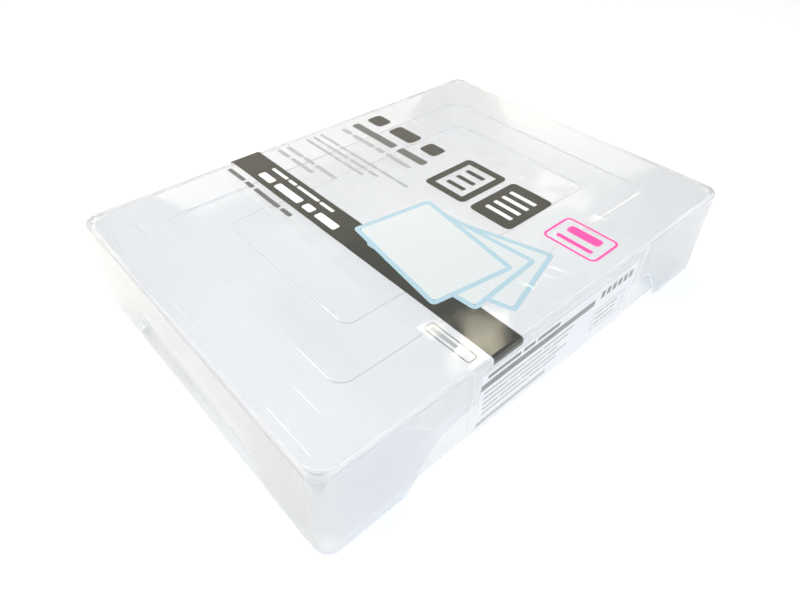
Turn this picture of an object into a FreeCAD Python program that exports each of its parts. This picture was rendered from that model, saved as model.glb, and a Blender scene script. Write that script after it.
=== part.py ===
import FreeCAD, Part
import collections
import os

import Sketcher
from FreeCAD import Vector

# Clear telescoping case for A4 papers: an inner tray, an outer lid that slips over it, and the clear film
# band wrapped over the closed case. X runs across the case, Y along it and Z up. The origin lies under the
# middle of the case, on the surface that the tray stands on. All sizes are in millimetres.

DRIVING_SIZES = (
    ("case_width", 233.0, "lid across its skirt, X"),
    ("case_length", 318.0, "lid along its skirt, Y"),
    ("case_height", 62.0, "surface to the top of the lid"),
    ("wall_thickness", 1.3, "walls, floor and top of both mouldings"),
    ("skirt_lift", 1.5, "surface to the lower edge of the lid's corners"),
    ("corner_radius", 9.0, "lid's upright corners, outside, at the skirt"),
    ("lid_draft", 0.8, "how far each lid wall leans in from skirt to top"),
    ("lid_edge_radius", 2.2, "rounded edge round the lid's top"),
    ("fit_gap", 0.4, "running gap between the tray's rim and the lid"),
    ("tray_draft", 1.9, "how far each tray wall leans in from rim to floor"),
    ("tray_corner_radius", 14.0, "tray's upright corners, outside, at the rim"),
    ("tray_foot_radius", 2.5, "rounded edge round the tray's floor"),
    ("panel_width", 167.0, "outer sunk panel of the lid's top, X"),
    ("panel_length", 245.0, "outer sunk panel of the lid's top, Y"),
    ("panel_radius", 9.0, "plan corners of the outer sunk panel"),
    ("panel_depth", 1.2, "lid's top down to the outer sunk panel"),
    ("inner_panel_width", 111.0, "inner sunk panel, X"),
    ("inner_panel_length", 193.0, "inner sunk panel, Y"),
    ("inner_panel_radius", 7.0, "plan corners of the inner sunk panel"),
    ("inner_panel_depth", 1.2, "outer sunk panel down to the inner one"),
    ("panel_slope", 3.0, "width of the sloping step round each panel"),
    ("pad_length", 40.0, "each sunk pad near the lid's front end, X"),
    ("pad_width", 15.0, "each sunk pad, Y"),
    ("pad_radius", 3.0, "plan corners of each sunk pad"),
    ("pad_depth", 0.5, "lid's top down to the sunk pads"),
    ("pad_spacing", 90.0, "from one pad's middle to the next, X"),
    ("pad_setback", 15.3, "front end of the lid to the pads' middle"),
    ("gusset_height", 22.0, "solid corner of the lid, from the underside of its top"),
    ("long_cutout_mouth", 220.0, "skirt cut-out of each long wall, at its lower edge"),
    ("long_cutout_throat", 178.0, "the same at its upper edge"),
    ("long_cutout_height", 31.5, "surface to the upper edge of that cut-out"),
    ("short_cutout_mouth", 144.0, "skirt cut-out of each short wall, at its lower edge"),
    ("short_cutout_throat", 100.0, "the same at its upper edge"),
    ("short_cutout_height", 32.5, "surface to the upper edge of that cut-out"),
    ("cutout_round", 8.0, "round of the cut-outs' upper corners"),
    ("cutout_lip_round", 4.0, "round of the cut-outs' lower corners"),
    ("long_notch_mouth", 229.0, "notch in each long tray wall, at the rim"),
    ("long_notch_throat", 181.0, "the same at its lower edge"),
    ("short_notch_mouth", 143.0, "notch in each short tray wall, at the rim"),
    ("short_notch_throat", 95.0, "the same at its lower edge"),
    ("notch_floor_height", 36.3, "surface to the lower edge of the notches"),
    ("notch_round", 4.0, "round of the notches' lower corners"),
    ("notch_lip_round", 3.0, "round of the notches' upper corners"),
    ("ledge_width", 146.0, "foot ledge at each short end of the tray, X"),
    ("ledge_setback", 0.5, "ledge's edge inside the line of the lid's skirt"),
    ("ledge_thickness", 1.2, "foot ledge"),
    ("ledge_radius", 3.0, "plan corners of the foot ledges"),
    ("band_width", 146.0, "film band, along the case"),
    ("band_offset", 1.0, "middle of the band past the middle of the case, Y"),
    ("band_thickness", 0.3, "film band"),
    ("band_gap", 0.3, "film band clear of the lid"),
    ("band_bend_radius", 1.6, "outside of the band's bends over the lid's edges"),
    ("band_hem_height", 10.5, "surface to the band's free lower edges"),
    ("tool_overrun", 20.0, "how far cutting shapes run past what they cut"),
)

TOLERANCE = 1e-4

doc = FreeCAD.newDocument("document_case")
sheet = doc.addObject("Spreadsheet::Sheet", "Sizes")
for row, (alias, size, meaning) in enumerate(DRIVING_SIZES, start=1):
    sheet.set(f"A{row}", alias)
    sheet.set(f"B{row}", str(size))
    sheet.set(f"C{row}", meaning)
    sheet.setAlias(f"B{row}", alias)
doc.recompute()

# A rounded rectangle about the Z axis, as expressions of the driving sizes
Outline = collections.namedtuple("Outline", "height width length radius")


def inset(outline, amount, height, tighter=True):
    """The same outline moved inwards all round, at another height.

    Its corners tighten by as much, unless it is the other end of a leaning block, whose corners keep one
    radius.
    """
    radius = f"({outline.radius} - {amount})" if tighter else outline.radius
    return Outline(
        f"({height})",
        f"({outline.width} - 2 * {amount})",
        f"({outline.length} - 2 * {amount})",
        radius,
    )


def lowered(outline, drop):
    """The same outline further down."""
    return outline._replace(height=f"({outline.height} - {drop})")


UNDERSIDE = "(Sizes.case_height - Sizes.wall_thickness)"
LID_SKIRT = Outline("Sizes.skirt_lift", "Sizes.case_width", "Sizes.case_length", "Sizes.corner_radius")
LID_TOP = inset(LID_SKIRT, "Sizes.lid_draft", "Sizes.case_height", tighter=False)
LID_HOLLOW_LOW = inset(LID_SKIRT, "Sizes.wall_thickness", "Sizes.skirt_lift")
LID_HOLLOW_HIGH = inset(LID_TOP, "Sizes.wall_thickness", UNDERSIDE)
PANEL = Outline("Sizes.case_height", "Sizes.panel_width", "Sizes.panel_length", "Sizes.panel_radius")
PANEL_BED = inset(PANEL, "Sizes.panel_slope", "Sizes.case_height - Sizes.panel_depth")
INNER_PANEL = Outline(
    PANEL_BED.height, "Sizes.inner_panel_width", "Sizes.inner_panel_length", "Sizes.inner_panel_radius"
)
INNER_BED = inset(INNER_PANEL, "Sizes.panel_slope", f"{PANEL_BED.height} - Sizes.inner_panel_depth")
TRAY_RIM = inset(LID_HOLLOW_HIGH, "Sizes.fit_gap", UNDERSIDE)._replace(radius="Sizes.tray_corner_radius")
TRAY_FLOOR = inset(TRAY_RIM, "Sizes.tray_draft", "0", tighter=False)
TRAY_HOLLOW_HIGH = inset(TRAY_RIM, "Sizes.wall_thickness", UNDERSIDE)
TRAY_HOLLOW_LOW = inset(TRAY_FLOOR, "Sizes.wall_thickness", "Sizes.wall_thickness")
LEDGE = Outline(
    "0", "Sizes.ledge_width", "(Sizes.case_length - 2 * Sizes.ledge_setback)", "Sizes.ledge_radius"
)
PAD = Outline("Sizes.case_height", "Sizes.pad_length", "Sizes.pad_width", "Sizes.pad_radius")


def value(expression):
    """The number that an expression of the driving sizes comes to."""
    return float(sheet.evalExpression(expression))


def new_body(name):
    """An empty body with its own origin."""
    body = doc.addObject("PartDesign::Body", name)
    body.Label = name
    return body


def attach(feature, body, role):
    """Lays a sketch or a primitive on one of its body's origin planes."""
    plane = next(item for item in body.Origin.OriginFeatures if item.Role == role)
    feature.AttachmentSupport = [(plane, "")]
    feature.MapMode = "FlatFace"


def bind(feature, **expressions):
    """Binds properties of a feature to expressions; a double underscore stands for a dot."""
    for name, expression in expressions.items():
        feature.setExpression(name.replace("__", "."), expression)


def constrain(sketch, kind, *arguments, name=None, expression=None):
    """Adds a constraint to a sketch, and binds it to an expression if it has one."""
    index = sketch.addConstraint(Sketcher.Constraint(kind, *arguments))
    if expression:
        sketch.renameConstraint(index, name)
        sketch.setExpression(f"Constraints.{name}", expression)


def rounded_sketch(body, name, outline, middle_x="0", middle_y="0"):
    """A rounded rectangle in a level plane: four sides and four tangent quarter arcs, counter-clockwise."""
    sketch = body.newObject("Sketcher::SketchObject", name)
    attach(sketch, body, "XY_Plane")
    bind(sketch, AttachmentOffset__Base__x=middle_x, AttachmentOffset__Base__y=middle_y)
    bind(sketch, AttachmentOffset__Base__z=outline.height)
    radius = value(outline.radius)
    x = value(outline.width) / 2 - radius
    y = value(outline.length) / 2 - radius
    right, up, front = Vector(radius, 0, 0), Vector(0, radius, 0), Vector(0, 0, 1)
    corners = (Vector(x, y, 0), Vector(-x, y, 0), Vector(-x, -y, 0), Vector(x, -y, 0))
    outward = (right, up, -right, -up)
    quarter = FreeCAD.Units.parseQuantity("90 deg").getValueAs("rad").Value
    for side, corner in enumerate(corners):
        before = corners[side - 1]
        sketch.addGeometry(Part.LineSegment(before + outward[side], corner + outward[side]), False)
        circle = Part.Circle(corner, front, radius)
        sketch.addGeometry(Part.ArcOfCircle(circle, side * quarter, (side + 1) * quarter), False)
    count = 2 * len(corners)
    for item in range(count):
        constrain(sketch, "Tangent", item, 2, (item + 1) % count, 1)
    for upright, level in ((0, 2), (4, 6)):
        constrain(sketch, "Vertical", upright)
        constrain(sketch, "Horizontal", level)
    for arc in (3, 5, 7):
        constrain(sketch, "Equal", 1, arc)
    constrain(sketch, "Symmetric", 1, 3, 5, 3, -1, 1)
    constrain(sketch, "Radius", 1, radius, name="radius", expression=outline.radius)
    constrain(sketch, "DistanceX", 4, 1, 0, 1, 2 * (x + radius), name="width", expression=outline.width)
    constrain(sketch, "DistanceY", 6, 1, 2, 1, 2 * (y + radius), name="length", expression=outline.length)
    return sketch


def sink(body, name, low, high):
    """Takes a sloping-sided recess between two outlines from a body."""
    low_sketch = rounded_sketch(body, f"{name}_low", low)
    high_sketch = rounded_sketch(body, f"{name}_high", high)
    feature = body.newObject("PartDesign::SubtractiveLoft", name)
    feature.Profile = low_sketch
    feature.Sections = [high_sketch]
    feature.Ruled = True
    doc.recompute()


def block(body, name, low, high):
    """Starts a body as a block that leans from one outline to another, with rounded upright corners."""
    wedge = body.newObject("PartDesign::AdditiveWedge", name)
    attach(wedge, body, "XZ_Plane")
    bind(
        wedge,
        Ymin=low.height,
        Xmin=f"-{low.width} / 2",
        Xmax=f"{low.width} / 2",
        Zmin=f"-{low.length} / 2",
        Zmax=f"{low.length} / 2",
        Ymax=high.height,
        X2min=f"-{high.width} / 2",
        X2max=f"{high.width} / 2",
        Z2min=f"-{high.length} / 2",
        Z2max=f"{high.length} / 2",
    )
    doc.recompute()
    upright = [
        f"Edge{number}"
        for number, edge in enumerate(wedge.Shape.Edges, start=1)
        if edge.BoundBox.ZLength > TOLERANCE
    ]
    round_edges(body, f"{name}_corners", upright, low.radius)


def round_edges(body, name, edges, radius):
    """Rounds edges of a body's last feature, named by their numbers."""
    feature = body.newObject("PartDesign::Fillet", name)
    feature.Base = (feature.BaseFeature, edges)
    bind(feature, Radius=radius)
    doc.recompute()
    return feature


def level_edges(shape, height):
    """Names of the edges that lie in a level plane."""
    return [
        f"Edge{number}"
        for number, edge in enumerate(shape.Edges, start=1)
        if edge.BoundBox.ZLength < TOLERANCE and abs(edge.BoundBox.ZMin - height) < TOLERANCE
    ]


def edges_through(shape, direction, points):
    """Names of the straight edges that run along a direction and whose lines pass through given points."""
    names = []
    for number, edge in enumerate(shape.Edges, start=1):
        if edge.Curve.TypeId != "Part::GeomLine":
            continue
        if abs(edge.Curve.Direction.dot(direction)) < 1 - TOLERANCE:
            continue
        nearest = [edge.Curve.value(edge.Curve.parameter(point)) for point in points]
        if any((foot - point).Length < TOLERANCE for foot, point in zip(nearest, points)):
            names.append(f"Edge{number}")
    return names


# How a wall cut-out lies: its sketch plane, and its sketch's first axis and depth axis in the case's frame
ALONG_LONG_WALLS = ("YZ_Plane", Vector(0, 1, 0), Vector(1, 0, 0), "Sizes.case_width")
ALONG_SHORT_WALLS = ("XZ_Plane", Vector(1, 0, 0), Vector(0, 1, 0), "Sizes.case_length")


def wall_cutter(name, lie, mouth, throat, mouth_height, throat_height, outside_height, rounds):
    """A bar that cuts a sloping-ended cut-out through two facing walls.

    Its profile is a trapezoid from the mouth, at the walls' free edge, to the narrower throat, and a wider
    strip from the mouth outwards. The throat's and the mouth's corners are rounded.
    """
    plane, across, depth_axis, depth = lie
    body = new_body(name)
    sketch = body.newObject("Sketcher::SketchObject", f"{name}_profile")
    attach(sketch, body, plane)
    strip = f"({mouth} + 2 * Sizes.tool_overrun)"
    half_strip, half_mouth, half_throat = (value(width) / 2 for width in (strip, mouth, throat))
    outside, free_edge, end = (value(height) for height in (outside_height, mouth_height, throat_height))
    profile = (
        Vector(-half_strip, outside, 0),
        Vector(half_strip, outside, 0),
        Vector(half_strip, free_edge, 0),
        Vector(half_mouth, free_edge, 0),
        Vector(half_throat, end, 0),
        Vector(-half_throat, end, 0),
        Vector(-half_mouth, free_edge, 0),
        Vector(-half_strip, free_edge, 0),
    )
    count = len(profile)
    for item, corner in enumerate(profile):
        sketch.addGeometry(Part.LineSegment(corner, profile[(item + 1) % count]), False)
    for item in range(count):
        constrain(sketch, "Coincident", item, 2, (item + 1) % count, 1)
    for left, right in ((0, 1), (6, 3), (5, 4)):
        constrain(sketch, "Symmetric", left, 1, right, 1, -2)
    for upright, level in ((1, 2), (7, 6)):
        constrain(sketch, "Vertical", upright)
        constrain(sketch, "Horizontal", level)
    widths = ((0, 1, strip, "strip"), (6, 3, mouth, "mouth"), (5, 4, throat, "throat"))
    for left, right, width, label in widths:
        constrain(sketch, "DistanceX", left, 1, right, 1, value(width), name=label, expression=width)
    heights = ((1, outside_height, "outside"), (3, mouth_height, "free_edge"), (4, throat_height, "end"))
    for corner, height, label in heights:
        amount = value(height)
        if amount < 0:
            constrain(sketch, "DistanceY", corner, 1, -1, 1, -amount, name=label, expression=f"-({height})")
        else:
            constrain(sketch, "DistanceY", -1, 1, corner, 1, amount, name=label, expression=height)
    pad = body.newObject("PartDesign::Pad", f"{name}_bar")
    pad.Profile = sketch
    pad.SideType = "Symmetric"
    bind(pad, Length=f"{depth} + 2 * Sizes.tool_overrun")
    doc.recompute()
    throat_round, mouth_round = rounds
    up = Vector(0, 0, 1)
    for label, half, height, radius in (
        ("throat", half_throat, end, throat_round),
        ("mouth", half_mouth, free_edge, mouth_round),
    ):
        points = [across * (side * half) + up * height for side in (-1, 1)]
        edges = edges_through(body.Shape, depth_axis, points)
        round_edges(body, f"{name}_{label}_round", edges, radius)
    return body


def moulding(name, blank, cutters):
    """A moulding: its outer block less its hollow and its wall cut-outs."""
    waste = doc.addObject("Part::MultiFuse", f"{name}_waste")
    waste.Shapes = cutters
    piece = doc.addObject("Part::Cut", name)
    piece.Base = blank
    piece.Tool = waste
    piece.Label = name
    doc.recompute()
    return piece


def make_lid():
    """The outer moulding: a deep cap with two nested sunk panels, sunk pads and cut-outs in its skirt."""
    blank = new_body("lid_blank")
    block(blank, "lid_block", LID_SKIRT, LID_TOP)
    top_edges = level_edges(blank.Shape, value(LID_TOP.height))
    round_edges(blank, "lid_top_round", top_edges, "Sizes.lid_edge_radius")
    sink(blank, "panel_sink", PANEL_BED, PANEL)
    sink(blank, "inner_panel_sink", INNER_BED, INNER_PANEL)
    for number, side in enumerate((-1, 0, 1), start=1):
        sketch = rounded_sketch(
            blank,
            f"pad_{number}_outline",
            PAD,
            middle_x=f"{side} * Sizes.pad_spacing",
            middle_y="Sizes.pad_setback - Sizes.case_length / 2",
        )
        pocket = blank.newObject("PartDesign::Pocket", f"pad_{number}")
        pocket.Profile = sketch
        bind(pocket, Length="Sizes.pad_depth")
    doc.recompute()

    hollow = new_body("lid_hollow")
    block(hollow, "lid_space", LID_HOLLOW_LOW, LID_HOLLOW_HIGH)
    wall = "Sizes.wall_thickness"
    sinks = (("panel_back", PANEL_BED, PANEL), ("inner_panel_back", INNER_BED, INNER_PANEL))
    for name, low, high in sinks:
        sink(hollow, name, lowered(low, wall), lowered(high, wall))
    # Each gusset is the part of an upright cone that stands inside the lid's corner. The cone's axis is the
    # sharp corner of the lid's inside, and its top comes within the running gap of the tray's corner.
    tray_reach = "(sqrt(2) * (Sizes.tray_corner_radius + Sizes.fit_gap) - Sizes.tray_corner_radius)"
    corner_reach = f"((sqrt(2) - 1) * {LID_HOLLOW_HIGH.radius})"
    for side_x in (-1, 1):
        for side_y in (-1, 1):
            cone = hollow.newObject("PartDesign::SubtractiveCone", "gusset")
            attach(cone, hollow, "XY_Plane")
            bind(
                cone,
                AttachmentOffset__Base__x=f"{side_x} * {LID_HOLLOW_HIGH.width} / 2",
                AttachmentOffset__Base__y=f"{side_y} * {LID_HOLLOW_HIGH.length} / 2",
                AttachmentOffset__Base__z=f"{UNDERSIDE} - Sizes.gusset_height",
                Height="Sizes.gusset_height",
                Radius1=f"{corner_reach} - Sizes.lid_draft",
                Radius2=f"{tray_reach} - Sizes.fit_gap",
            )
    doc.recompute()

    rounds = ("Sizes.cutout_round", "Sizes.cutout_lip_round")
    below = "-Sizes.tool_overrun"
    long_cutter = wall_cutter(
        "lid_long_cutter",
        ALONG_LONG_WALLS,
        "Sizes.long_cutout_mouth",
        "Sizes.long_cutout_throat",
        "Sizes.skirt_lift",
        "Sizes.long_cutout_height",
        below,
        rounds,
    )
    short_cutter = wall_cutter(
        "lid_short_cutter",
        ALONG_SHORT_WALLS,
        "Sizes.short_cutout_mouth",
        "Sizes.short_cutout_throat",
        "Sizes.skirt_lift",
        "Sizes.short_cutout_height",
        below,
        rounds,
    )
    return moulding("lid", blank, [hollow, long_cutter, short_cutter])


def make_base_tray():
    """The inner moulding: an open tray with a notch in each wall and a foot ledge at each short end."""
    blank = new_body("tray_blank")
    block(blank, "tray_block", TRAY_FLOOR, TRAY_RIM)
    foot_edges = level_edges(blank.Shape, value(TRAY_FLOOR.height))
    round_edges(blank, "tray_foot_round", foot_edges, "Sizes.tray_foot_radius")
    ledge = blank.newObject("PartDesign::Pad", "foot_ledges")
    ledge.Profile = rounded_sketch(blank, "foot_ledges_outline", LEDGE)
    bind(ledge, Length="Sizes.ledge_thickness")
    blank.Tip = ledge
    doc.recompute()

    hollow = new_body("tray_hollow")
    block(hollow, "tray_space", TRAY_HOLLOW_LOW, TRAY_HOLLOW_HIGH)
    cove_edges = level_edges(hollow.Shape, value(TRAY_HOLLOW_LOW.height))
    round_edges(hollow, "tray_cove", cove_edges, "Sizes.tray_foot_radius - Sizes.wall_thickness")

    rounds = ("Sizes.notch_round", "Sizes.notch_lip_round")
    above = f"({UNDERSIDE} + Sizes.tool_overrun)"
    long_cutter = wall_cutter(
        "tray_long_cutter",
        ALONG_LONG_WALLS,
        "Sizes.long_notch_mouth",
        "Sizes.long_notch_throat",
        UNDERSIDE,
        "Sizes.notch_floor_height",
        above,
        rounds,
    )
    short_cutter = wall_cutter(
        "tray_short_cutter",
        ALONG_SHORT_WALLS,
        "Sizes.short_notch_mouth",
        "Sizes.short_notch_throat",
        UNDERSIDE,
        "Sizes.notch_floor_height",
        above,
        rounds,
    )
    return moulding("base_tray", blank, [hollow, long_cutter, short_cutter])


def make_film_band():
    """The film band: a saddle over the lid's top and down both long walls, with free lower edges."""
    body = new_body("film_band")
    slab = body.newObject("PartDesign::AdditiveBox", "band_block")
    attach(slab, body, "XY_Plane")
    proud = "(Sizes.band_gap + Sizes.band_thickness)"
    bind(
        slab,
        Length=f"Sizes.case_width + 2 * {proud}",
        Width="Sizes.band_width",
        Height=f"Sizes.case_height + {proud} - Sizes.band_hem_height",
        AttachmentOffset__Base__x=f"-(Sizes.case_width / 2 + {proud})",
        AttachmentOffset__Base__y="Sizes.band_offset - Sizes.band_width / 2",
        AttachmentOffset__Base__z="Sizes.band_hem_height",
    )
    doc.recompute()
    half_width = value(f"Sizes.case_width / 2 + {proud}")
    top = value(f"Sizes.case_height + {proud}")
    bends = [Vector(side * half_width, 0, top) for side in (-1, 1)]
    edges = edges_through(body.Shape, Vector(0, 1, 0), bends)
    bent = round_edges(body, "band_bends", edges, "Sizes.band_bend_radius")
    open_sides = []
    for number, face in enumerate(bent.Shape.Faces, start=1):
        normal = face.normalAt(0, 0)
        if abs(normal.y) > 1 - TOLERANCE or normal.z < TOLERANCE - 1:
            open_sides.append(f"Face{number}")
    film = body.newObject("PartDesign::Thickness", "band_film")
    film.Base = (bent, open_sides)
    film.Reversed = True
    bind(film, Value="Sizes.band_thickness")
    doc.recompute()
    return body


pieces = [make_base_tray(), make_lid(), make_film_band()]
doc.recompute()

for item in doc.Objects:
    if "Invalid" in item.State or "Error" in item.State:
        raise RuntimeError(f"{item.Label} failed: {item.State}")
for piece in pieces:
    if piece.Shape.isNull() or not piece.Shape.isValid():
        raise RuntimeError(f"{piece.Label} has no valid shape")

os.makedirs("parts", exist_ok=True)
for piece in pieces:
    piece.Shape.exportStep(f"parts/{piece.Label}.step")
    box = piece.Shape.BoundBox
    corners = (box.XMin, box.YMin, box.ZMin, box.XMax, box.YMax, box.ZMax)
    print(piece.Label, len(piece.Shape.Solids), round(piece.Shape.Volume, 1), [round(c, 2) for c in corners])
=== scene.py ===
"""Dresses a clear telescoping case for A4 papers: a tray, a lid that slips over it and a film band."""

import logging
import math
from dataclasses import dataclass, field
from enum import Enum

import bpy
import numpy as np
from mathutils import Matrix, Vector


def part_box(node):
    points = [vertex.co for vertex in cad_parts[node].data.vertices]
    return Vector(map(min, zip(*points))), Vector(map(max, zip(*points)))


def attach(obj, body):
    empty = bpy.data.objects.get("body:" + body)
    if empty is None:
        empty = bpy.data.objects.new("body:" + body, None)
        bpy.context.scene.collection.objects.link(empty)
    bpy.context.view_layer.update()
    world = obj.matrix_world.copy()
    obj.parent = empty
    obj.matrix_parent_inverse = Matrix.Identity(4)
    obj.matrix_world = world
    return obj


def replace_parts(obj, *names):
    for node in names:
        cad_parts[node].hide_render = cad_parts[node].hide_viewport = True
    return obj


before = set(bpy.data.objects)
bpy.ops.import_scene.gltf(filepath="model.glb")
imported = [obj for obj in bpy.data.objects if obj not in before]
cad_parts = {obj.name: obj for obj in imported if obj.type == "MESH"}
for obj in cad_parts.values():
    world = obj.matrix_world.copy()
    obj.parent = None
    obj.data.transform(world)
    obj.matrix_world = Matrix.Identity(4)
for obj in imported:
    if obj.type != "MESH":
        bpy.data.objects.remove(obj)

MM = 0.001
QUARTER_TURN = math.pi / 2
CREASE = math.radians(50)
MERGE_DIGITS = 5
PLACE_DIGITS = 4
PURE_WHITE = (1.0, 1.0, 1.0, 1.0)
Array = np.ndarray
Values = Array | float
Tree = bpy.types.NodeTree
Socket = bpy.types.NodeSocket
Piece = bpy.types.Object
Skin = tuple[Array, list[tuple[int, ...]]]
log = logging.getLogger("document_case")


def hex_to_linear(text: str) -> tuple[float, float, float, float]:
    """Turns an sRGB hex colour into a linear colour.

    Args:
        text: Six hex digits after a hash sign.

    Returns:
        Linear red, green and blue, and an alpha of 1.
    """
    shares = [int(text[place : place + 2], 16) / 255 for place in (1, 3, 5)]
    linear = [s / 12.92 if s <= 0.04045 else ((s + 0.055) / 1.055) ** 2.4 for s in shares]
    return (linear[0], linear[1], linear[2], 1.0)


def add_node(
    tree: Tree, kind: str, inputs: dict[str | int, object] | None = None, **settings: object
) -> bpy.types.Node:
    """Adds a node, sets its properties, and links or sets its inputs.

    Args:
        tree: The node tree that takes the node.
        kind: The node's type name, without its first part, ShaderNode.
        inputs: Values or output sockets, by the name or number of the input.
        settings: Properties of the node.

    Returns:
        The new node.
    """
    node = tree.nodes.new(f"ShaderNode{kind}")
    for name, value in settings.items():
        setattr(node, name, value)
    for name, value in (inputs or {}).items():
        if isinstance(value, Socket):
            tree.links.new(value, node.inputs[name])
        else:
            node.inputs[name].default_value = value
    return node


def empty_tree(owner: bpy.types.ID) -> Tree:
    """Gives a new material or world a node tree with nothing in it.

    Args:
        owner: The material or world.

    Returns:
        Its node tree.
    """
    owner.use_nodes = True
    owner.node_tree.nodes.clear()
    return owner.node_tree


def rippled_normal(tree: Tree, across_mm: float, height_mm: float, detail: float) -> Socket:
    """The normal of a face that ripples in soft noise, as moulded or stretched plastic does.

    Args:
        tree: The material's node tree.
        across_mm: Size of a ripple.
        height_mm: Its height.
        detail: How many layers of finer ripples it carries.

    Returns:
        The normal.
    """
    place = add_node(tree, "TexCoord").outputs["Object"]
    noise = {"Vector": place, "Scale": 1 / (across_mm * MM), "Detail": detail}
    ripple = add_node(tree, "TexNoise", noise).outputs["Fac"]
    relief = {"Height": ripple, "Distance": height_mm * MM, "Strength": 1.0}
    return add_node(tree, "Bump", relief).outputs["Normal"]


def seen_by_eye(tree: Tree) -> Socket:
    """Tells what is looked at from what lights the case.

    Args:
        tree: The node tree that asks.

    Returns:
        1 on a ray that comes from the eye or has just passed clear plastic, and 0 on any other.
    """
    path = add_node(tree, "LightPath")
    rays = {0: path.outputs["Is Camera Ray"], 1: path.outputs["Is Transmission Ray"]}
    return add_node(tree, "Math", rays, operation="MAXIMUM").outputs[0]


def let_lamps_through(tree: Tree, surface: Socket, tint: str) -> None:
    """Ends a tree in a clear shader that takes little light from what lies behind it.

    Args:
        tree: The material's node tree.
        surface: The shader that is seen.
        tint: What the piece lets through from the lamps.
    """
    shadow = add_node(tree, "LightPath").outputs["Is Shadow Ray"]
    open_air = add_node(tree, "BsdfTransparent", {"Color": hex_to_linear(tint)})
    either = add_node(tree, "MixShader", {0: shadow, 1: surface, 2: open_air.outputs["BSDF"]})
    add_node(tree, "OutputMaterial", {"Surface": either.outputs["Shader"]})


def hinge(distance: Values, half_width: float) -> Array:
    """A ramp: 0 before its bend, (d + w)^2 / 4w within a half width w of it, and the distance d past it."""
    bent = (distance + half_width) ** 2 / (4 * half_width)
    return np.where(distance <= -half_width, 0.0, np.where(distance >= half_width, distance, bent))


def smooth_share(value: Array) -> Array:
    """An S-curve from 0 to 1: 3t^2 - 2t^3 on the value clipped to that range."""
    share = np.clip(value, 0.0, 1.0)
    return share * share * (3 - 2 * share)


class Perimeter:
    """Stations round a rounded rectangle, at the same share of each side and corner on every ring."""

    def __init__(self, long_steps: int, short_steps: int, corner_steps: int) -> None:
        """Lays out the stations.

        Args:
            long_steps: Steps along each side that runs in Y.
            short_steps: Steps along each side that runs in X.
            corner_steps: Steps round each corner.
        """
        corners = np.array([(1, 1), (-1, 1), (-1, -1), (1, -1)], float)
        here, after, angles, shares = [], [], [], []
        for corner in range(4):
            turn = (corner + np.linspace(0, 1, corner_steps + 1)) * QUARTER_TURN
            steps = long_steps if corner % 2 else short_steps
            along = np.linspace(0, 1, steps + 1)[1:-1]
            angles += [turn, np.full(len(along), turn[-1])]
            shares += [np.zeros(len(turn)), along]
            count = len(turn) + len(along)
            here.append(np.tile(corners[corner], (count, 1)))
            after.append(np.tile(corners[(corner + 1) % 4], (count, 1)))
        self.here, self.after = np.concatenate(here), np.concatenate(after)
        self.share = np.concatenate(shares)[:, None]
        angle = np.concatenate(angles)
        self.outward = np.column_stack([np.cos(angle), np.sin(angle)])
        self.on_long_wall = np.abs(self.outward[:, 0]) > np.abs(self.outward[:, 1])
        self.count = len(angle)

    def ring(self, half_x: Values, half_y: Values, radius: Values, height: Values) -> Array:
        """A level or wavy ring: corner centres slid along each side, plus the corner radius outwards.

        Args:
            half_x: Half of the width, one for all stations or one each.
            half_y: Half of the length, likewise.
            radius: Corner radius, likewise, limited to the half sizes.
            height: Height, likewise.

        Returns:
            One point per station.
        """
        halves = [np.broadcast_to(half_x, self.count), np.broadcast_to(half_y, self.count)]
        half = np.column_stack(halves)
        rounding = np.minimum(np.broadcast_to(radius, self.count), half.min(axis=1))[:, None]
        centre = self.here * (half - rounding)
        centre = centre + self.share * (self.after * (half - rounding) - centre)
        return np.column_stack([centre + rounding * self.outward, np.broadcast_to(height, self.count)])


def shell(rings: list[Array], looped: bool = False) -> tuple[Array, list[tuple[int, ...]], Array]:
    """Joins rings of equal length into a skin, and merges points that lie on one another.

    Args:
        rings: Rings of points, each one next to its neighbour.
        looped: True if the last ring joins the first.

    Returns:
        The points, the faces, and for each point its number among all ring points.
    """
    rows, count = len(rings), len(rings[0])
    points = np.concatenate(rings)
    number = np.arange(rows * count).reshape(rows, count)
    number = np.concatenate([number, number[:1]]) if looped else number
    number = np.concatenate([number, number[:, :1]], axis=1)
    corners = [number[:-1, :-1], number[1:, :-1], number[1:, 1:], number[:-1, 1:]]
    quads = np.stack(corners, axis=-1).reshape(-1, 4)
    rounded = np.round(points, MERGE_DIGITS)
    _, first, merged = np.unique(rounded, axis=0, return_index=True, return_inverse=True)
    quads = merged.reshape(-1)[quads]
    same = quads == np.roll(quads, -1, axis=1)
    pinched = same.sum(axis=1) == 1
    whole = quads[~same.any(axis=1)]
    triangles = quads[pinched][~same[pinched]].reshape(-1, 3)
    faces = [tuple(face) for face in whole.tolist() + triangles.tolist()]
    return points[first], faces, first


def mesh_piece(name: str, skins: list[Skin]) -> Piece:
    """Makes one smooth-shaded object of skins, given in millimetres.

    Args:
        name: The piece's name.
        skins: Points and faces of each skin.

    Returns:
        The object, at the origin, linked to the scene.
    """
    starts = np.cumsum([0] + [len(points) for points, _ in skins])
    points = np.concatenate([points for points, _ in skins]) * MM
    faces = []
    for (_, skin), start in zip(skins, starts):
        faces += [tuple(corner + start for corner in face) for face in skin]
    mesh = bpy.data.meshes.new(name)
    mesh.from_pydata(points.tolist(), [], faces)
    mesh.shade_smooth()
    mesh.set_sharp_from_angle(angle=CREASE)
    mesh.validate()
    piece = bpy.data.objects.new(name, mesh)
    bpy.context.scene.collection.objects.link(piece)
    return piece


def node_box(node: str) -> tuple[Array, Array]:
    """Lowest and highest corner of a node, in millimetres."""
    low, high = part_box(node)
    return np.array(low) / MM, np.array(high) / MM


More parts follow.
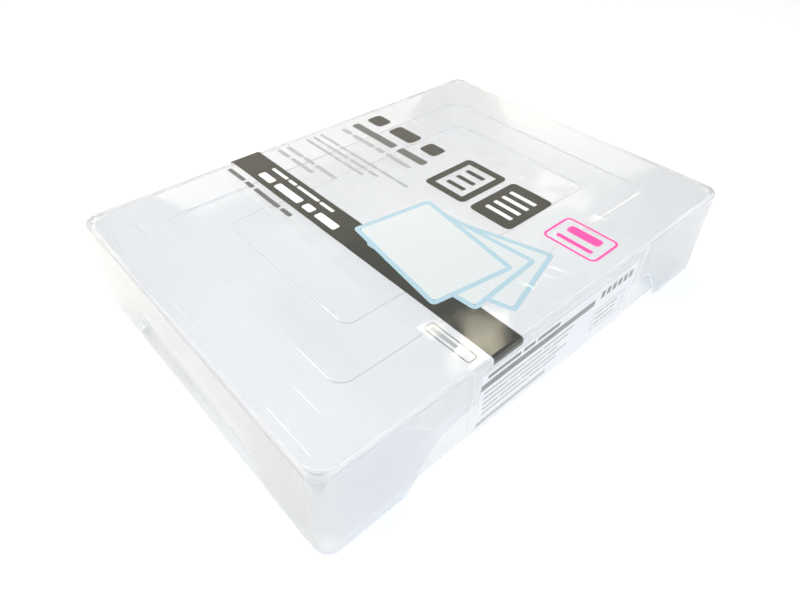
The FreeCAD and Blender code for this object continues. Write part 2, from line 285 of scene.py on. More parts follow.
@dataclass(frozen=True)
class Outline:
    """A level rounded rectangle about the Z axis, in millimetres."""

    half_x: float
    half_y: float
    radius: float
    height: float

    def inset(self, inwards: float, height: float) -> "Outline":
        """The outline that lies this far inside this one, at another height."""
        return Outline(self.half_x - inwards, self.half_y - inwards, self.radius - inwards, height)

    def towards(self, other: "Outline", share: float, climb: float | None = None) -> "Outline":
        """The outline part of the way to another one.

        Args:
            other: The other outline.
            share: How far its plan goes.
            climb: How far its height goes, if that differs.

        Returns:
            The outline in between.
        """
        lift = share if climb is None else climb
        return Outline(
            self.half_x + share * (other.half_x - self.half_x),
            self.half_y + share * (other.half_y - self.half_y),
            self.radius + share * (other.radius - self.radius),
            self.height + lift * (other.height - self.height),
        )


@dataclass(frozen=True)
class WallCutout:
    """A sloping-ended cut-out in a wall, from its free edge, in millimetres."""

    half_mouth: float
    half_throat: float
    throat: float
    mouth_round: float
    throat_round: float

    def edge(self, along: Array, free_edge: float) -> Array:
        """Height of the wall's edge: throat level, a straight ramp, then the free edge, with round bends.

        Args:
            along: Distance from the wall's middle.
            free_edge: The edge's height beside the cut-out.

        Returns:
            The edge's height at each distance.
        """
        slope = (free_edge - self.throat) / (self.half_mouth - self.half_throat)
        past_throat = hinge(along - self.half_throat, self.throat_round)
        past_mouth = hinge(along - self.half_mouth, self.mouth_round)
        return self.throat + slope * (past_throat - past_mouth)


class PaintedEdgeLight(Enum):
    """How strongly a stretch of a moulding takes painted edge light, for the light that its wall carries."""

    FLAT = 0.0
    STEP = 0.06
    BEND = 0.35
    RIM = 1.0


@dataclass(frozen=True)
class ClearPolypropylene:
    """Injection-moulded clear polypropylene: see-through with a milky veil, glossy, with painted light at
    its edges.
    """

    name: str
    tint: str
    painted_edge_tint: str
    clearness: float = 0.79
    painted_edge_clearness: float = 0.08
    roughness: float = 0.235
    skin_roughness: float = 0.05
    ior: float = 1.49
    ripple_mm: float = 34.0
    ripple_height_mm: float = 0.05
    ripple_detail: float = 1.0
    veil_mm: float = 70.0
    veil_detail: float = 2.0
    veil_swing: float = 0.04
    gloss_swing: float = 0.15
    shadow_tint: str = "#f4f7f9"
    corner_shade_tint: str = "#cbcdcc"

    def material(self) -> bpy.types.Material:
        """Builds the node tree: a clear shader that lamps shine through, with ripples, painted edge light
        and painted corner shade.

        Returns:
            The material.
        """
        made = bpy.data.materials.new(self.name)
        tree = empty_tree(made)
        place = add_node(tree, "TexCoord").outputs["Object"]
        edge = add_node(tree, "Attribute", attribute_name="painted_edge_light").outputs["Fac"]
        thick = add_node(tree, "Attribute", attribute_name="painted_corner_shade").outputs["Fac"]
        # The melt cools unevenly, so the veil and the gloss drift over hand-sized patches
        noise = {"Vector": place, "Scale": 1 / (self.veil_mm * MM), "Detail": self.veil_detail}
        veil = add_node(tree, "TexNoise", noise).outputs["Fac"]
        low, high = self.clearness - self.veil_swing, self.clearness + self.veil_swing
        drift = add_node(tree, "MapRange", {"Value": veil, "To Min": low, "To Max": high})
        # Painted edge light: rims, bends and steps lose clearness and take the edge tint, as if lit by the
        # light their walls carry
        clear = add_node(tree, "Mix", {"Factor": edge, 2: drift.outputs["Result"], 3: self.painted_edge_clearness})
        dull, bright = (1 + self.gloss_swing) * self.roughness, (1 - self.gloss_swing) * self.roughness
        gloss = add_node(tree, "MapRange", {"Value": veil, "To Min": bright, "To Max": dull})
        # Painted corner shade: a filled corner takes a darker grey tint for the dark streak seen in it,
        # beyond the little more light that its thickness swallows
        tints = {0: thick, 6: hex_to_linear(self.tint), 7: hex_to_linear(self.corner_shade_tint)}
        body = add_node(tree, "Mix", tints, data_type="RGBA").outputs[2]
        tints = {0: edge, 6: body, 7: hex_to_linear(self.painted_edge_tint)}
        tint = add_node(tree, "Mix", tints, data_type="RGBA").outputs[2]
        normal = rippled_normal(tree, self.ripple_mm, self.ripple_height_mm, self.ripple_detail)
        plastic = add_node(
            tree,
            "BsdfPrincipled",
            {
                "Base Color": tint,
                "Transmission Weight": clear.outputs[0],
                "Roughness": gloss.outputs["Result"],
                "IOR": self.ior,
                "Normal": normal,
                "Coat Weight": 1.0,
                "Coat Roughness": self.skin_roughness,
                "Coat IOR": self.ior,
                "Coat Normal": normal,
            },
        )
        let_lamps_through(tree, plastic.outputs["BSDF"], self.shadow_tint)
        return made


@dataclass(frozen=True)
class GlossFilm:
    """Cast polypropylene film: water-clear, mirror-smooth, seen mostly by what it reflects."""

    name: str
    tint: str = "#ffffff"
    shadow_tint: str = "#ffffff"
    roughness: float = 0.04
    ior: float = 1.49
    ripple_mm: float = 18.0
    ripple_height_mm: float = 0.04
    ripple_detail: float = 2.0

    def material(self) -> bpy.types.Material:
        """Builds the node tree: clear film with a fine ripple that bends its reflections.

        Returns:
            The material.
        """
        made = bpy.data.materials.new(self.name)
        tree = empty_tree(made)
        normal = rippled_normal(tree, self.ripple_mm, self.ripple_height_mm, self.ripple_detail)
        clear = add_node(tree, "BsdfTransparent", {"Color": hex_to_linear(self.tint)})
        polish = {"Color": PURE_WHITE, "Roughness": self.roughness, "Normal": normal}
        mirror = add_node(tree, "BsdfGlossy", polish)
        # What a smooth face mirrors: its head-on share, plus the rest times the fifth power of the slant
        slant = add_node(tree, "LayerWeight", {"Blend": 0.5, "Normal": normal}).outputs["Facing"]
        fifth = add_node(tree, "Math", {0: slant, 1: 5.0}, operation="POWER").outputs[0]
        head_on = ((self.ior - 1) / (self.ior + 1)) ** 2
        share = {0: fifth, 1: 1 - head_on, 2: head_on}
        shine = add_node(tree, "Math", share, operation="MULTIPLY_ADD").outputs[0]
        both = {0: shine, 1: clear.outputs["BSDF"], 2: mirror.outputs["BSDF"]}
        let_lamps_through(tree, add_node(tree, "MixShader", both).outputs["Shader"], self.shadow_tint)
        return made


class Ink(Enum):
    """The inks of the film's print, as sRGB hex colours."""

    CHARCOAL = "#383932"
    SLATE = "#646866"
    GREY = "#aeb3b6"
    PINK = "#ff4fb0"
    DEEP_BLUE = "#b2d2e1"
    PALE_BLUE = "#dde5e8"
    WHITE = "#fafbfb"
    FROST = "#eef1f7"


@dataclass(frozen=True)
class GravureInk:
    """Gravure print on the back of the film: an even, matt coat with a faint mottle."""

    ink: Ink
    roughness: float = 0.5
    mottle_mm: float = 1.6
    mottle_detail: float = 1.0
    mottle: float = 0.06

    def material(self) -> bpy.types.Material:
        """Builds the node tree: the ink's colour, a little lighter and darker in grains.

        Returns:
            The material.
        """
        made = bpy.data.materials.new(f"gravure_ink_{self.ink.name.lower()}")
        tree = empty_tree(made)
        place = add_node(tree, "TexCoord").outputs["Object"]
        noise = {"Vector": place, "Scale": 1 / (self.mottle_mm * MM), "Detail": self.mottle_detail}
        grain = add_node(tree, "TexNoise", noise).outputs["Fac"]
        swing = {"Value": grain, "To Min": 1 - self.mottle, "To Max": 1 + self.mottle}
        level = add_node(tree, "MapRange", swing).outputs["Result"]
        tone = {0: hex_to_linear(self.ink.value)[:3], "Scale": level}
        colour = add_node(tree, "VectorMath", tone, operation="SCALE").outputs["Vector"]
        matt = {"Base Color": colour, "Roughness": self.roughness, "Specular IOR Level": 0.0}
        coat = add_node(tree, "BsdfPrincipled", matt)
        add_node(tree, "OutputMaterial", {"Surface": coat.outputs["BSDF"]})
        return made


@dataclass
class Moulding:
    """What the lid and the tray share: a leaning wall with cut-outs, and rings that each carry painted edge
    light and painted corner shade.
    """

    finish: ClearPolypropylene = field(init=False)
    long_cut: WallCutout = field(init=False)
    short_cut: WallCutout = field(init=False)
    head: Outline = field(init=False)
    foot_height: float = field(init=False)
    spread: float = field(init=False)
    wall: float = 1.3
    long_steps: int = 184
    short_steps: int = 132
    corner_steps: int = 12
    wall_rings: int = 9
    wall_span: tuple[float, float] = (0.1, 0.9)
    outer_first: float = 0.02
    outer_last: tuple[float, float] = (0.95, 0.985)
    inner_first: float = 0.015
    rim_rings: int = 7
    rings: list[Array] = field(default_factory=list)
    glow: list[float] = field(default_factory=list)
    thick: list[Array] = field(default_factory=list)

    def __post_init__(self) -> None:
        """Lays out the stations."""
        self.perimeter = Perimeter(self.long_steps, self.short_steps, self.corner_steps)

    def lay(self, ring: Array, light: PaintedEdgeLight = PaintedEdgeLight.FLAT, thick: Values = 0.0) -> None:
        """Adds a ring to the skin.

        Args:
            ring: The ring's points.
            light: The painted edge light that it carries.
            thick: How far the wall is filled, which sets its painted corner shade, one for all stations or
                one each.
        """
        self.rings.append(ring)
        self.glow.append(light.value)
        self.thick.append(np.broadcast_to(thick, len(ring)))

    def lay_outline(self, outline: Outline, light: PaintedEdgeLight = PaintedEdgeLight.FLAT, drop: Values = 0.0) -> None:
        """Adds a level outline, lowered by a drop, to the skin."""
        height = outline.height - drop
        self.lay(self.perimeter.ring(outline.half_x, outline.half_y, outline.radius, height), light)

    def wall_ring(self, height: Array, inwards: float) -> Array:
        """A ring of the leaning wall, which spreads evenly from its head to its foot.

        Args:
            height: Height at each station.
            inwards: Distance in from the outer face.

        Returns:
            The ring's points.
        """
        head = self.head
        lean = (head.height - height) / (head.height - self.foot_height) * self.spread
        half_x, half_y = head.half_x + lean - inwards, head.half_y + lean - inwards
        return self.perimeter.ring(half_x, half_y, head.radius - inwards, height)

    def level_ring(self, height: float, inwards: float) -> Array:
        """A ring of the leaning wall at one height."""
        return self.wall_ring(np.full(self.perimeter.count, height), inwards)

    def wall_edge(self, level: float, free_edge: float) -> Array:
        """Height of the wall's edge, with its cut-outs, at each station.

        Args:
            level: The wall's height at which each station's place along it is read.
            free_edge: The edge's height beside the cut-outs.

        Returns:
            One height per station.
        """
        along = np.abs(self.level_ring(level, 0.0))
        on_long = self.long_cut.edge(along[:, 1], free_edge)
        on_short = self.short_cut.edge(along[:, 0], free_edge)
        return np.where(self.perimeter.on_long_wall, on_long, on_short)

    def lay_wall(self, start: float, edge: Array, upwards: int) -> Array:
        """Adds the wall's outer face, and a half round over its edge.

        Args:
            start: Height at which the face starts.
            edge: Height of the wall's edge at each station.
            upwards: 1 if the wall stands up to its edge, and -1 if it hangs down to it.

        Returns:
            Height at which the round ends and the inner face starts.
        """
        half = upwards * self.wall / 2
        bend = edge - half
        plain = np.linspace(*self.wall_span, self.wall_rings)
        for share in (self.outer_first, *plain, *self.outer_last):
            light = PaintedEdgeLight.RIM if share == self.outer_last[-1] else PaintedEdgeLight.FLAT
            self.lay(self.wall_ring(start + share * (bend - start), 0.0), light)
        for angle in np.linspace(0, math.pi, self.rim_rings):
            height = edge - half * (1 - math.sin(angle))
            self.lay(self.wall_ring(height, self.wall / 2 * (1 - math.cos(angle))), PaintedEdgeLight.RIM)
        return bend

    def piece(self, name: str) -> Piece:
        """Makes the moulding's object and dresses it, with painted edge light and painted corner shade as
        attributes of its points.

        Args:
            name: The piece's name.

        Returns:
            The object.
        """
        points, faces, source = shell(self.rings)
        made = mesh_piece(name, [(points, faces)])
        light = np.repeat(self.glow, self.perimeter.count)[source]
        thick = np.concatenate(self.thick)[source]
        for label, values in (("painted_edge_light", light), ("painted_corner_shade", thick)):
            attribute = made.data.attributes.new(label, "FLOAT", "POINT")
            attribute.data.foreach_set("value", values.astype(np.float32))
        made.data.materials.append(self.finish.material())
        return made


@dataclass
class Lid(Moulding):
    """The outer moulding: a deep cap with two nested sunk panels, three sunk pads and a cut-out skirt."""

    # The lid's edge tint is a pale cool grey: painted edge light along its rims, bends and steps
    finish: ClearPolypropylene = ClearPolypropylene("moulded_polypropylene_lid", "#f6f8fb", "#edf1f8")
    long_cut: WallCutout = WallCutout(110.0, 89.0, 31.5, 2.0, 4.0)
    short_cut: WallCutout = WallCutout(72.0, 50.0, 32.5, 2.0, 4.0)
    corner_radius: float = 9.0
    draft: float = 0.8
    edge_radius: float = 1.8
    edge_rings: int = 8
    panel: Outline = Outline(83.5, 122.5, 9.0, 0.0)
    inner_panel: Outline = Outline(55.5, 96.5, 7.0, 0.0)
    panel_depth: float = 0.4
    panel_slope: float = 1.3
    panel_sag: float = 0.35
    step_round: float = 0.16
    step_rings: int = 9
    inner_bed_shares: tuple[float, ...] = (0.0, 0.25, 0.5, 0.75, 0.95)
    outer_bed_shares: tuple[float, ...] = (0.02, 0.35, 0.65, 0.98)
    margin_shares: tuple[float, ...] = (0.01, 0.12, 0.24, 0.5, 0.6, 0.7, 0.9, 0.97)
    pad_half_length: float = 20.0
    pad_half_width: float = 7.5
    pad_spacing: float = 90.0
    pad_setback: float = 15.3
    pad_depth: float = 0.05
    pad_end_slope: float = 2.4
    pad_side_slope: float = 0.9
    pad_bead_height: float = 0.23
    pad_bead_half: float = 0.6
    pad_bead_rings: int = 11
    gusset_height: float = 15.0
    gusset_top: float = 5.9
    gusset_foot: float = 2.4
    gusset_start: float = 0.3
    gusset_narrowing: float = 0.7
    gusset_blend: float = 2.4
    gusset_shade: float = 3.0
    inner_span: tuple[float, float] = (0.1, 0.99)

    def __post_init__(self) -> None:
        """Takes the outside size from the frame: the wall is widest at its foot, by the draft."""
        super().__post_init__()
        low, high = node_box("lid")
        self.half_length = high[1]
        self.foot_height = low[2]
        self.spread = self.draft
        self.head = Outline(high[0] - self.draft, high[1] - self.draft, self.corner_radius, high[2])

    def pad_drop(self, ring: Array) -> Array:
        """How far the three pads sink the top.

        A pad is a box with S-curve ends and steeper S-curve sides, with a thin bead, one cosine wave
        across, along each side.

        Args:
            ring: A ring of the top.

        Returns:
            The drop at each station.
        """
        across = np.abs(ring[:, :1] - self.pad_spacing * np.array([-1, 0, 1]))
        along = np.abs(ring[:, 1] + self.half_length - self.pad_setback)
        ends = smooth_share((self.pad_half_length - across) / self.pad_end_slope + 0.5).max(axis=1)
        sides = smooth_share((self.pad_half_width - along) / self.pad_side_slope + 0.5)
        off_side = np.clip((along - self.pad_half_width) / self.pad_bead_half, -1, 1)
        bead = self.pad_bead_height * (1 + np.cos(math.pi * off_side)) / 2
        return ends * (self.pad_depth * sides - bead)

    def panel_step(self, low: Outline, rim: Outline) -> list[tuple[Outline, PaintedEdgeLight]]:
        """The sloping side of a sunk panel: a straight climb with a parabola at each end.

        Args:
            low: Outline of the side's foot.
            rim: Outline of its head.

        Returns:
            Each outline and the painted edge light that it carries.
        """
        bend, found = self.step_round, []
        for share in np.linspace(0, 1, self.step_rings):
            climb = (hinge(share - bend, bend) - hinge(share - 1 + bend, bend)) / (1 - 2 * bend)
            light = PaintedEdgeLight.STEP if 0 < share < 1 else PaintedEdgeLight.FLAT
            found.append((low.towards(rim, share, float(climb)), light))
        return found

    def sunk_outlines(self, with_pads: bool) -> list[tuple[Outline, PaintedEdgeLight]]:
        """The top from its middle out to the edge's bend: bed, step, outer bed, step, and the level margin.

        Args:
            with_pads: True to crowd the rings where the pads' sides fall.

        Returns:
            Each outline and the painted edge light that it carries.
        """
        level, depth = self.head.height, self.panel_depth
        inner_rim, outer_rim = self.inner_panel.inset(0.0, level - depth), self.panel.inset(0.0, level)
        inner_bed = self.inner_panel.inset(self.panel_slope, level - 2 * depth)
        outer_bed = self.panel.inset(self.panel_slope, level - depth)
        spine = Outline(0.0, inner_bed.half_y - inner_bed.half_x, 0.0, inner_bed.height - self.panel_sag)
        margin = self.head.inset(self.edge_radius, level)
        reach = margin.half_y - self.panel.half_y
        middle = self.half_length - self.pad_setback - self.panel.half_y
        shares = list(self.margin_shares)
        for side in (-1, 1) if with_pads else ():
            for step in np.linspace(-1, 1, self.pad_bead_rings):
                shares.append((middle + side * self.pad_half_width + step * self.pad_bead_half) / reach)
        flat = PaintedEdgeLight.FLAT
        found = [(spine.towards(inner_bed, share, share**2), flat) for share in self.inner_bed_shares]
        found += self.panel_step(inner_bed, inner_rim)
        found += [(inner_rim.towards(outer_bed, share), flat) for share in self.outer_bed_shares]
        found += self.panel_step(outer_bed, outer_rim)
        found += [(outer_rim.towards(margin, share), flat) for share in sorted(shares)]
        return found

    def gusset(self, ring: Array, height: Array) -> tuple[Array, Array]:
        """Fills each inside corner with a cone that widens to the top.

        At a corner station the point moves from the corner's round to the cone, which stands on the sharp
        corner of the wall's inside: sharp corner less cone radius times the sine and cosine of the
        station's angle.

        Args:
            ring: A ring of the wall's inner face.
            height: Its height at each station.

        Returns:
            The ring with its corners filled, and how far each station is filled, which sets its painted
            corner shade.
        """
        foot = self.head.height - self.wall - self.gusset_height
        share = np.clip((height - foot) / self.gusset_height, 0, 1)
        radius = self.gusset_foot + (self.gusset_top - self.gusset_foot) * share
        here, outward = self.perimeter.here, self.perimeter.outward
        sharp = here * np.abs(ring[:, :2]).max(axis=0)
        cone = sharp - radius[:, None] * here * np.abs(outward[:, ::-1])
        # The fill narrows from the corner's whole round at the top to its middle at the foot
        bisected = 2 * np.abs(outward.prod(axis=1))
        inside = bisected - self.gusset_start - self.gusset_narrowing * (1 - share)
        inside = inside * (self.perimeter.share[:, 0] == 0)
        at_corner = smooth_share(self.gusset_blend * inside)
        filled = ring.copy()
        filled[:, :2] += at_corner[:, None] * (cone - ring[:, :2])
        # The second share sets the painted corner shade, darkest where the fill is deepest
        return filled, smooth_share(self.gusset_shade * inside)

    def build(self) -> Piece:
        """Lays the skin from the top's middle outwards, down the wall, round the rim and back inside.

        Returns:
            The dressed lid.
        """
        for outline, light in self.sunk_outlines(with_pads=True):
            flat = self.perimeter.ring(outline.half_x, outline.half_y, outline.radius, outline.height)
            self.lay_outline(outline, light, self.pad_drop(flat))
        start = self.head.height - self.edge_radius
        for angle in np.linspace(0, QUARTER_TURN, self.edge_rings):
            inwards = self.edge_radius * (1 - math.sin(angle))
            height = start + self.edge_radius * math.cos(angle)
            self.lay_outline(self.head.inset(inwards, height), PaintedEdgeLight.BEND)
        low = self.lay_wall(start, self.wall_edge(start, self.foot_height), upwards=-1)
        under = self.head.height - self.wall
        for share in (self.inner_first, *np.linspace(*self.inner_span, 2 * self.wall_rings)):
            height = low + share * (under - low)
            ring, filled = self.gusset(self.wall_ring(height, self.wall), height)
            # The filled share goes on as the painted corner shade
            self.lay(ring, thick=filled)
        for outline, _ in reversed(self.sunk_outlines(with_pads=False)):
            self.lay_outline(outline, drop=self.wall)
        return self.piece("clear_lid")


@dataclass
class Tray(Moulding):
    """The inner moulding: an open tray with a notch in each wall and a foot ledge at each short end."""

    # The tray's edge tint is white: painted edge light along its rims, foot and cove
    finish: ClearPolypropylene = ClearPolypropylene(
        "moulded_polypropylene_tray", "#eceff3", "#ffffff", clearness=0.42
    )
    long_cut: WallCutout = WallCutout(114.5, 90.5, 36.3, 1.5, 2.2)
    short_cut: WallCutout = WallCutout(71.5, 47.5, 36.3, 1.5, 2.2)
    corner_radius: float = 14.0
    draft: float = 1.9
    foot_radius: float = 2.5
    ledge_half_width: float = 73.0
    ledge_thickness: float = 1.2
    ledge_round: float = 0.2
    ledge_under: float = 0.6
    ledge_over: float = 0.5
    ledge_root: float = 0.1
    wall_root: float = 0.06
    inner_last: float = 0.98
    cove_rings: int = 6
    floor_shares: tuple[float, ...] = (0.0, 0.5, 0.9, 0.985)

    def __post_init__(self) -> None:
        """Takes the outside size from the frame: the wall is narrowest at its foot, by the draft.

        The frame's box is longer by the ledges, so the rim's length follows from the lid's.
        """
        super().__post_init__()
        high, lid_high = node_box("base_tray")[1], node_box("lid")[1]
        half_length = lid_high[1] - lid_high[0] + high[0]
        self.foot_height = 0.0
        self.spread = -self.draft
        self.head = Outline(high[0], half_length, self.corner_radius, high[2])
        self.ledge_reach = high[1] - (half_length - self.draft)

    def foot_rings(self) -> list[Array]:
        """The outside of the foot: a quarter round, or a ledge where the short walls have one.

        The round runs through its angle. The ledge runs out along the surface, up its edge and back in to
        the wall, in as many rings.

        Returns:
            The rings, from the floor to the wall.
        """
        foot, reach, thick, bend = self.foot_radius, self.ledge_reach, self.ledge_thickness, self.ledge_round
        path = [(-foot, 0.0), (self.ledge_under * reach, 0.0), (reach - bend, 0.0), (reach, bend)]
        path += [(reach, thick - bend), (reach - bend, thick), (self.ledge_over * reach, thick)]
        path += [(self.ledge_root, thick), (self.wall_root, foot)]
        angles = np.linspace(0, QUARTER_TURN, len(path))
        found = []
        for angle, (out, height) in zip(angles, path):
            plain = self.level_ring(foot * (1 - math.cos(angle)), foot * (1 - math.sin(angle)))
            ledge = self.level_ring(height, 0.0)
            ledge[:, 1] += np.sign(ledge[:, 1]) * out
            has_ledge = ~self.perimeter.on_long_wall & (np.abs(plain[:, 0]) < self.ledge_half_width)
            found.append(np.where(has_ledge[:, None], ledge, plain))
        return found

    def build(self) -> Piece:
        """Lays the skin from under the floor's middle outwards, up the wall, round the rim and back inside.

        Returns:
            The dressed tray.
        """
        foot = self.foot_radius
        inwards = self.draft + foot
        flat = Outline(
            self.head.half_x - inwards, self.head.half_y - inwards, self.corner_radius - foot, 0.0
        )
        spine = Outline(0.0, flat.half_y - flat.half_x, 0.0, 0.0)
        floor = [spine.towards(flat, share) for share in self.floor_shares]
        for outline in floor:
            self.lay_outline(outline)
        for ring in self.foot_rings():
            self.lay(ring, PaintedEdgeLight.BEND)
        high = self.lay_wall(foot, self.wall_edge(self.head.height, self.head.height), upwards=1)
        plain = np.linspace(*self.wall_span, self.wall_rings)
        for share in (self.inner_first, *plain, self.inner_last):
            self.lay(self.wall_ring(high + share * (foot - high), self.wall))
        cove = foot - self.wall
        for angle in np.linspace(0, QUARTER_TURN, self.cove_rings):
            ring = self.level_ring(foot - cove * math.sin(angle), foot - cove * math.cos(angle))
            self.lay(ring, PaintedEdgeLight.STEP)
        for outline in reversed(floor):
            self.lay_outline(outline, drop=-self.wall)
        return self.piece("clear_tray")


@dataclass(frozen=True)
class Wave:
    """A sine wave over the film: its height, and the millimetres per radian across and along the case."""

    height: float
    across: float
    along: float
    phase: float

    def at(self, u: Array, v: Array) -> Array:
        """The wave's height at places across and along the case."""
        return self.height * np.sin(u / self.across + v / self.along + self.phase)


@dataclass
class FilmBand:
    """The film: a sheet bent over the lid's top and down its long walls, slack and wavy at its two edges."""

    finish: GlossFilm = GlossFilm("cast_polypropylene_film")
    thickness: float = 0.08
    bend_radius: float = 1.8
    lift: float = 0.42
    side_gap: float = 0.15
    mean_slack: float = 0.5
    flutter: float = 0.75
    flutter_reach: float = 10.0
    flutter_fade: float = 1.3
    flutter_waves: tuple[Wave, ...] = (Wave(0.32, 8.3, 90.0, 0.6), Wave(0.18, 3.9, 40.0, 2.1))
    drum: float = 0.10
    drum_waves: tuple[Wave, Wave] = (Wave(0.5, 21.0, 33.0, 0.0), Wave(1.0, -50.0, 17.0, 0.8))
    held_half: float = 2.5
    held_fade: float = 14.0
    crease: float = 0.30
    crease_width: float = 1.7
    crease_slope: float = 0.32
    crease_pivot: tuple[float, float] = (100.0, 6.0)
    crease_shifts: tuple[float, ...] = (-9.0, 0.0, 8.0)
    crease_middle: float = 99.0
    crease_reach: float = 12.0
    run_step: float = 1.5
    bend_places: int = 9
    edge_crowding: float = 0.25
    length_places: int = 76

    def __post_init__(self) -> None:
        """Takes the band's size and place from the frame."""
        (_, front, hem), (side, back, _) = node_box("film_band")
        lid_top = node_box("lid")[1][2]
        self.front, self.back = front, back
        self.top = lid_top + self.lift
        self.flat_half = side - self.side_gap - self.bend_radius
        self.bend = self.bend_radius * QUARTER_TURN
        self.half_length = self.flat_half + self.bend + self.top - self.bend_radius - hem

    def waves(self, u: Array, v: Array) -> Array:
        """How far the film stands off its straight path.

        Its two edges flutter in waves of two lengths that die away inwards, the drum of the top swells by
        a little, and three short creases run aslant near the right-hand bend. The bends hold it still.

        Args:
            u: Distance from the top's middle along the film, across the case.
            v: Place along the case.

        Returns:
            Distance outwards.
        """
        off_bend = np.abs(np.abs(u) - self.flat_half - self.bend / 2)
        free = smooth_share((off_bend - self.held_half) / self.held_fade)
        to_edge = np.minimum(v - self.front, self.back - v)
        fade = np.exp(-((to_edge / self.flutter_reach) ** self.flutter_fade))
        swing = self.mean_slack + sum(wave.at(u, v) for wave in self.flutter_waves)
        first, second = self.drum_waves
        swell = self.mean_slack + first.at(u, v) * second.at(u, v)
        slant = v - self.crease_slope * (u - self.crease_pivot[0]) - self.crease_pivot[1]
        ridges = [np.exp(-(((slant - shift) / self.crease_width) ** 2)) for shift in self.crease_shifts]
        window = np.exp(-(((u - self.crease_middle) / self.crease_reach) ** 2))
        return free * (self.flutter * fade * swing + self.drum * swell) + self.crease * sum(ridges) * window

    def surface(self, u: Array, v: Array, depth: Values) -> Array:
        """The film in space: a level run, a quarter turn and an upright run, moved outwards by its waves.

        Args:
            u: Distance from the top's middle along the film, across the case.
            v: Place along the case.
            depth: Distance inwards from the film's outer face.

        Returns:
            Points, with the last axis x, y, z.
        """
        side, run = np.sign(u), np.abs(u)
        turn = np.clip((run - self.flat_half) / self.bend_radius, 0, QUARTER_TURN)
        down = np.maximum(run - self.flat_half - self.bend, 0)
        x = side * (np.minimum(run, self.flat_half) + self.bend_radius * np.sin(turn))
        z = self.top - self.bend_radius * (1 - np.cos(turn)) - down
        out = self.waves(u, v) - depth
        return np.stack([x + out * side * np.sin(turn), v, z + out * np.cos(turn)], axis=-1)

    def slab(self, u: Array, v: Array, outer: float, inner: float) -> Skin:
        """A closed thin slab that follows the film.

        Each ring goes out along u on the outer face and back on the inner one, at one v. The first and
        last rings are drawn together on the middle face, which closes the slab's ends.

        Args:
            u: Places across the case, rising.
            v: Places along the case, rising.
            outer: Depth of the slab's outer face below the film's outer face.
            inner: Depth of its inner face.

        Returns:
            Points and faces.
        """
        there_and_back = np.concatenate([u, u[::-1]])
        depths = np.repeat([outer, inner], len(u))
        middle = (outer + inner) / 2
        stops = [(v[0], middle), *((place, depths) for place in v), (v[-1], middle)]
        rings = [self.surface(there_and_back, np.full(2 * len(u), at), depth) for at, depth in stops]
        points, faces, _ = shell(rings[::-1])
        return points, faces

    def run_places(self, low: float, high: float, step: float) -> Array:
        """Places across the case, crowded where the film bends.

        Args:
            low: The first place.
            high: The last place.
            step: The longest step between them.

        Returns:
            The places, rising.
        """
        plain = np.linspace(low, high, max(2, int(math.ceil((high - low) / step)) + 1))
        bend = self.flat_half + np.linspace(0, 1, self.bend_places) * self.bend
        bends = np.concatenate([-bend, bend])
        inside = bends[(low < bends) & (bends < high)]
        return np.unique(np.round(np.concatenate([plain, inside]), PLACE_DIGITS))

    def build(self) -> Piece:
        """Makes the film as one closed slab, with its places along the case crowded at its edges.

        Returns:
            The dressed film.
        """
        u = self.run_places(-self.half_length, self.half_length, self.run_step)
        share = np.linspace(0, 1, self.length_places)
        share = (1 - self.edge_crowding) * share + self.edge_crowding * smooth_share(share)
        v = self.front + (self.back - self.front) * share
        film = mesh_piece("gloss_film", [self.slab(u, v, 0.0, self.thickness)])
        film.data.materials.append(self.finish.material())
        return film


@dataclass(frozen=True)
class Mark:
    """One printed shape on the film, in flat places: u across the case, v along it, in millimetres."""

    ink: Ink
    u: float
    v: float
    width: float
    height: float
    radius: float = 0.0
    stroke: float = 0.0
    turn: float = 0.0
    layer: int = 1


